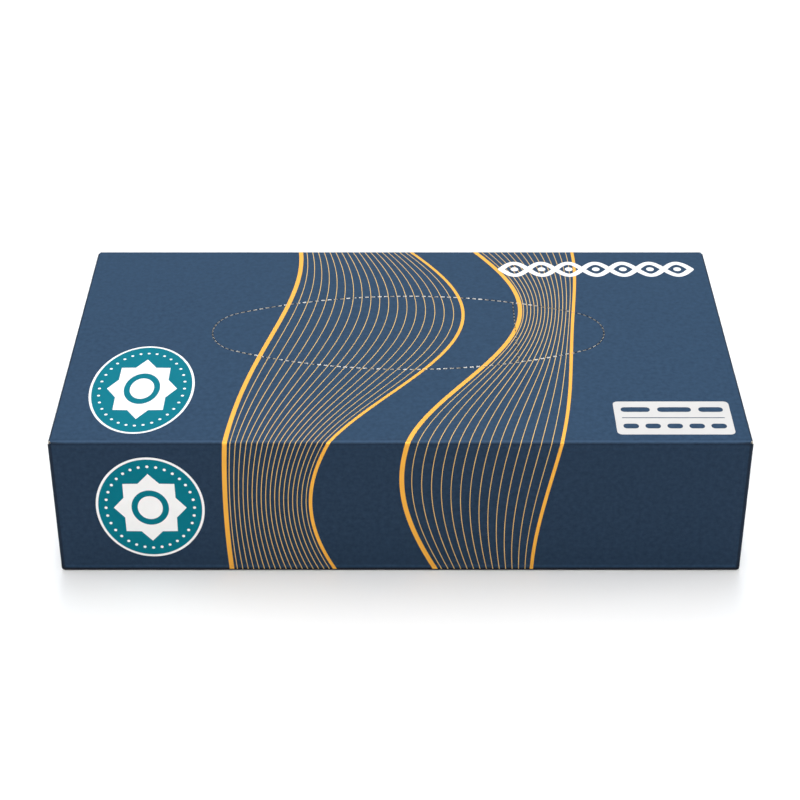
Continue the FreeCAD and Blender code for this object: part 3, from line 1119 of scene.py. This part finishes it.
@dataclass(frozen=True)
class Label:
    """The light label by the front right corner: a panel, a rule and rows of plain bars.

    A row has its share of the label's height above the middle, and its bars' lengths.
    """

    press: Press
    lifts: Pair
    middle: Pair = (88.5, -49.1)
    width: float = 37.9
    height: float = 19.5
    corner: float = 1.7
    inner: float = 0.88
    rule: float = 0.4
    rule_corner: tuple = (0.4 / 2.5, 3)
    bar: float = 2.8
    bar_corner: tuple = (2.8 / 2.2, 6)
    rows: tuple = ((0.25, (9.5, 11.0, 8.0)), (-0.25, (5.0,) * 5))

    def build(self) -> None:
        """Prints the panel and its marks."""
        panel = fill([rounded(self.middle, self.width, self.height, self.corner)])
        self.press.make("label_panel", panel, self.lifts[0], Finish.PALE)
        x, y = self.middle
        inner = self.inner * self.width
        shapes = [rounded((x, y), inner, self.rule, *self.rule_corner)]
        for rise, bars in self.rows:
            gap = (inner - sum(bars)) / (len(bars) - 1)
            starts = np.cumsum([0.0, *(bar + gap for bar in bars[:-1])]) - inner / 2
            shapes += [rounded((x + start + bar / 2, y + rise * self.height), bar, self.bar,
                               *self.bar_corner) for start, bar in zip(starts, bars)]
        self.press.make("label_marks", fill(shapes), self.lifts[1], Finish.NAVY)


@dataclass(frozen=True)
class Lamp:
    """A soft rectangular light: its place and two sides close up, in metres, and its watts."""

    name: str
    place: tuple
    size: tuple
    power: float
    colour: tuple = (1.0, 1.0, 1.0)


@dataclass(frozen=True)
class Studio:
    """The floor, the lights and the camera."""

    floor_size: float = 200.0
    floor_grey: tuple = (238, 238, 238)
    floor_roughness: float = 0.8
    floor_specular: float = 0.2
    sky: float = 0.15
    horizon: float = 1.0
    haze: tuple = (0.03, 0.12)
    spread: float = 8.0
    aim: tuple = (0, 0, 0)
    lamps: tuple = (Lamp("overhead", (0, 0, 1.6), (0.4, 2.8), 35),
                    Lamp("behind", (0, 1.5, 1.0), (2.4, 1.0), 9, (0.7, 1.0, 1.3)),
                    Lamp("front fill", (0, -1.9, 1.4), (1.5, 1.0), 12),
                    Lamp("left", (-1.5, 0.3, 0.35), (0.8, 0.6), 8),
                    Lamp("right", (1.5, 0.3, 0.35), (0.8, 0.6), 8))
    lens: float = 88.91
    sensor: float = 36.0
    camera_place: tuple = (-0.18, -585.19, 402.01)
    pitch: float = 32.702

    def floor(self) -> None:
        """Lays a plain pale floor."""
        half = self.floor_size / 2
        mesh = bpy.data.meshes.new("studio_floor")
        corners = [(-half, -half, 0), (half, -half, 0), (half, half, 0), (-half, half, 0)]
        mesh.from_pydata(corners, [], [(0, 1, 2, 3)])
        graph = Graph("studio floor")
        graph.set(Base_Color=self.floor_grey, Roughness=self.floor_roughness,
                  Specular_IOR_Level=self.floor_specular)
        mesh.materials.append(graph.material)
        floor = shown("studio_floor", mesh)

    def hang(self, lamp: Lamp) -> None:
        """Hangs a light.

        Every light hangs further off by the same spread, and is as much larger and so much
        stronger that the carton looks the same, while the floor is bright further out.

        Args:
            lamp: The light as it would be close up.
        """
        light = bpy.data.lights.new(lamp.name, "AREA")
        light.color = lamp.colour
        light.shape = "RECTANGLE"
        light.size, light.size_y = (self.spread * side for side in lamp.size)
        light.energy = lamp.power * self.spread ** 2
        place = Vector(lamp.place)
        hung = shown(lamp.name, light)
        hung.location = place * self.spread
        hung.rotation_euler = (Vector(self.aim) - place).to_track_quat("-Z", "Y").to_euler()
        hung.visible_camera = False

    def air(self) -> None:
        """Lights the studio's air: white at the horizon, and dim from a low rise upwards."""
        world = bpy.data.worlds.new("studio air")
        world.use_nodes = True
        nodes, links = world.node_tree.nodes, world.node_tree.links
        place, parts = nodes.new("ShaderNodeTexCoord"), nodes.new("ShaderNodeSeparateXYZ")
        fade, light = nodes.new("ShaderNodeMapRange"), nodes["Background"]
        limits = zip(("From Min", "From Max", "To Min", "To Max"),
                     (*self.haze, self.horizon, self.sky))
        for name, value in limits:
            fade.inputs[name].default_value = value
        links.new(place.outputs["Generated"], parts.inputs["Vector"])
        links.new(parts.outputs["Z"], fade.inputs["Value"])
        links.new(fade.outputs["Result"], light.inputs["Strength"])
        light.inputs["Color"].default_value = (1, 1, 1, 1)
        bpy.context.scene.world = world

    def camera(self) -> None:
        """Sets the camera where the photograph was taken from."""
        data = bpy.data.cameras.new("camera")
        data.lens, data.sensor_width, data.sensor_fit = self.lens, self.sensor, "AUTO"
        camera = shown("camera", data)
        camera.location = Vector(self.camera_place) * MM
        camera.rotation_euler = (QUARTER - math.radians(self.pitch), 0, 0)
        bpy.context.scene.camera = camera

    def build(self) -> None:
        """Sets up the whole studio."""
        self.floor()
        for lamp in self.lamps:
            self.hang(lamp)
        self.air()
        bpy.context.scene.view_settings.view_transform = "Standard"
        self.camera()
        log.info("studio: floor, lights and camera")


@dataclass(frozen=True)
class TissueCarton:
    """The whole carton: its board and everything printed on it."""

    fine_ink: float = 0.012
    torn_edge: float = 0.02
    ink: float = 0.03
    second_ink: float = 0.04

    def build(self) -> None:
        """Builds the pieces in order, from the board to the smallest print."""
        blank = Blank(Board.inside(cad_box, self.second_ink), TearOut())
        press = Press(blank)
        FoldedBoard(press).build()
        CutEdges(press, self.torn_edge).build()
        lifts = (self.fine_ink, self.ink)
        WaveBand(press, "left_band", lifts, middle=-26, swing=17, wave=230, start=-30, width=46,
                 squeeze=0.4, squeeze_wave=190, squeeze_start=-40, lines=20).build()
        WaveBand(press, "right_band", lifts, middle=38, swing=14, wave=230, start=-30, width=34,
                 squeeze=0.45, squeeze_wave=170, squeeze_start=-110, lines=16).build()
        lifts = (self.ink, self.second_ink)
        Badge(press, "top_badge", lifts, (-85.8, -31.4), 16.6, 26.3).build()
        Badge(press, "front_badge", lifts, (-81.3, blank.front(25.8)), 16.9, 19.0).build()
        Braid(press, self.second_ink).build()
        Label(press, lifts).build()


def main() -> None:
    """Builds the carton and its studio."""
    logging.basicConfig(level=logging.INFO, format="%(message)s")
    TissueCarton().build()
    Studio().build()


if __name__ == "__main__":
    main()
